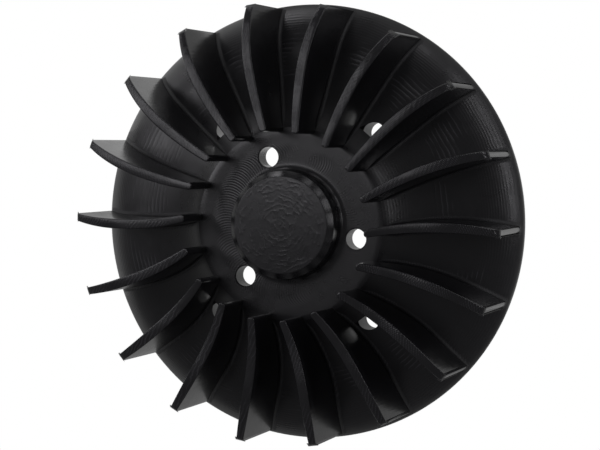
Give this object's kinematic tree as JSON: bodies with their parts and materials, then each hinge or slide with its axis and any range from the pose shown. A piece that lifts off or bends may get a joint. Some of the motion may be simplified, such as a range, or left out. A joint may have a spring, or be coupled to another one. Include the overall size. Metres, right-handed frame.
{
  "type": "blower motor wheel",
  "caption": "Machined black blower wheel: open radial vanes with a shallow curve on a dished back disc, round a flat screw-on hub with a closed boss.",
  "frame": {"origin": "on the wheel's axis, in the plane of the rim's flat rear land", "axes": "+Z along the wheel's axis towards its front, where the air goes in; the outer screw rectangle is square to +X and +Y"},
  "size_m": [0.152, 0.152, 0.0442],
  "materials": {
    "hub_plate": "satin black anodised, faced with fine cutter marks",
    "boss": "satin black anodised, wavy concentric cutter marks",
    "back_disc": "satin black anodised, concentric ball-cutter scallops",
    "vanes": "satin black anodised, fine cutter lines along the vane"
  },
  "bodies": {
    "root": {"hub_plate": "hub_plate", "boss": "boss", "back_disc": "back_disc", "vane_01": "vanes", "vane_02": "vanes", "vane_03": "vanes", "vane_04": "vanes", "vane_05": "vanes", "vane_06": "vanes", "vane_07": "vanes", "vane_08": "vanes", "vane_09": "vanes", "vane_10": "vanes", "vane_11": "vanes", "vane_12": "vanes", "vane_13": "vanes", "vane_14": "vanes", "vane_15": "vanes", "vane_16": "vanes", "vane_17": "vanes", "vane_18": "vanes"}
  },
  "joints": []
}
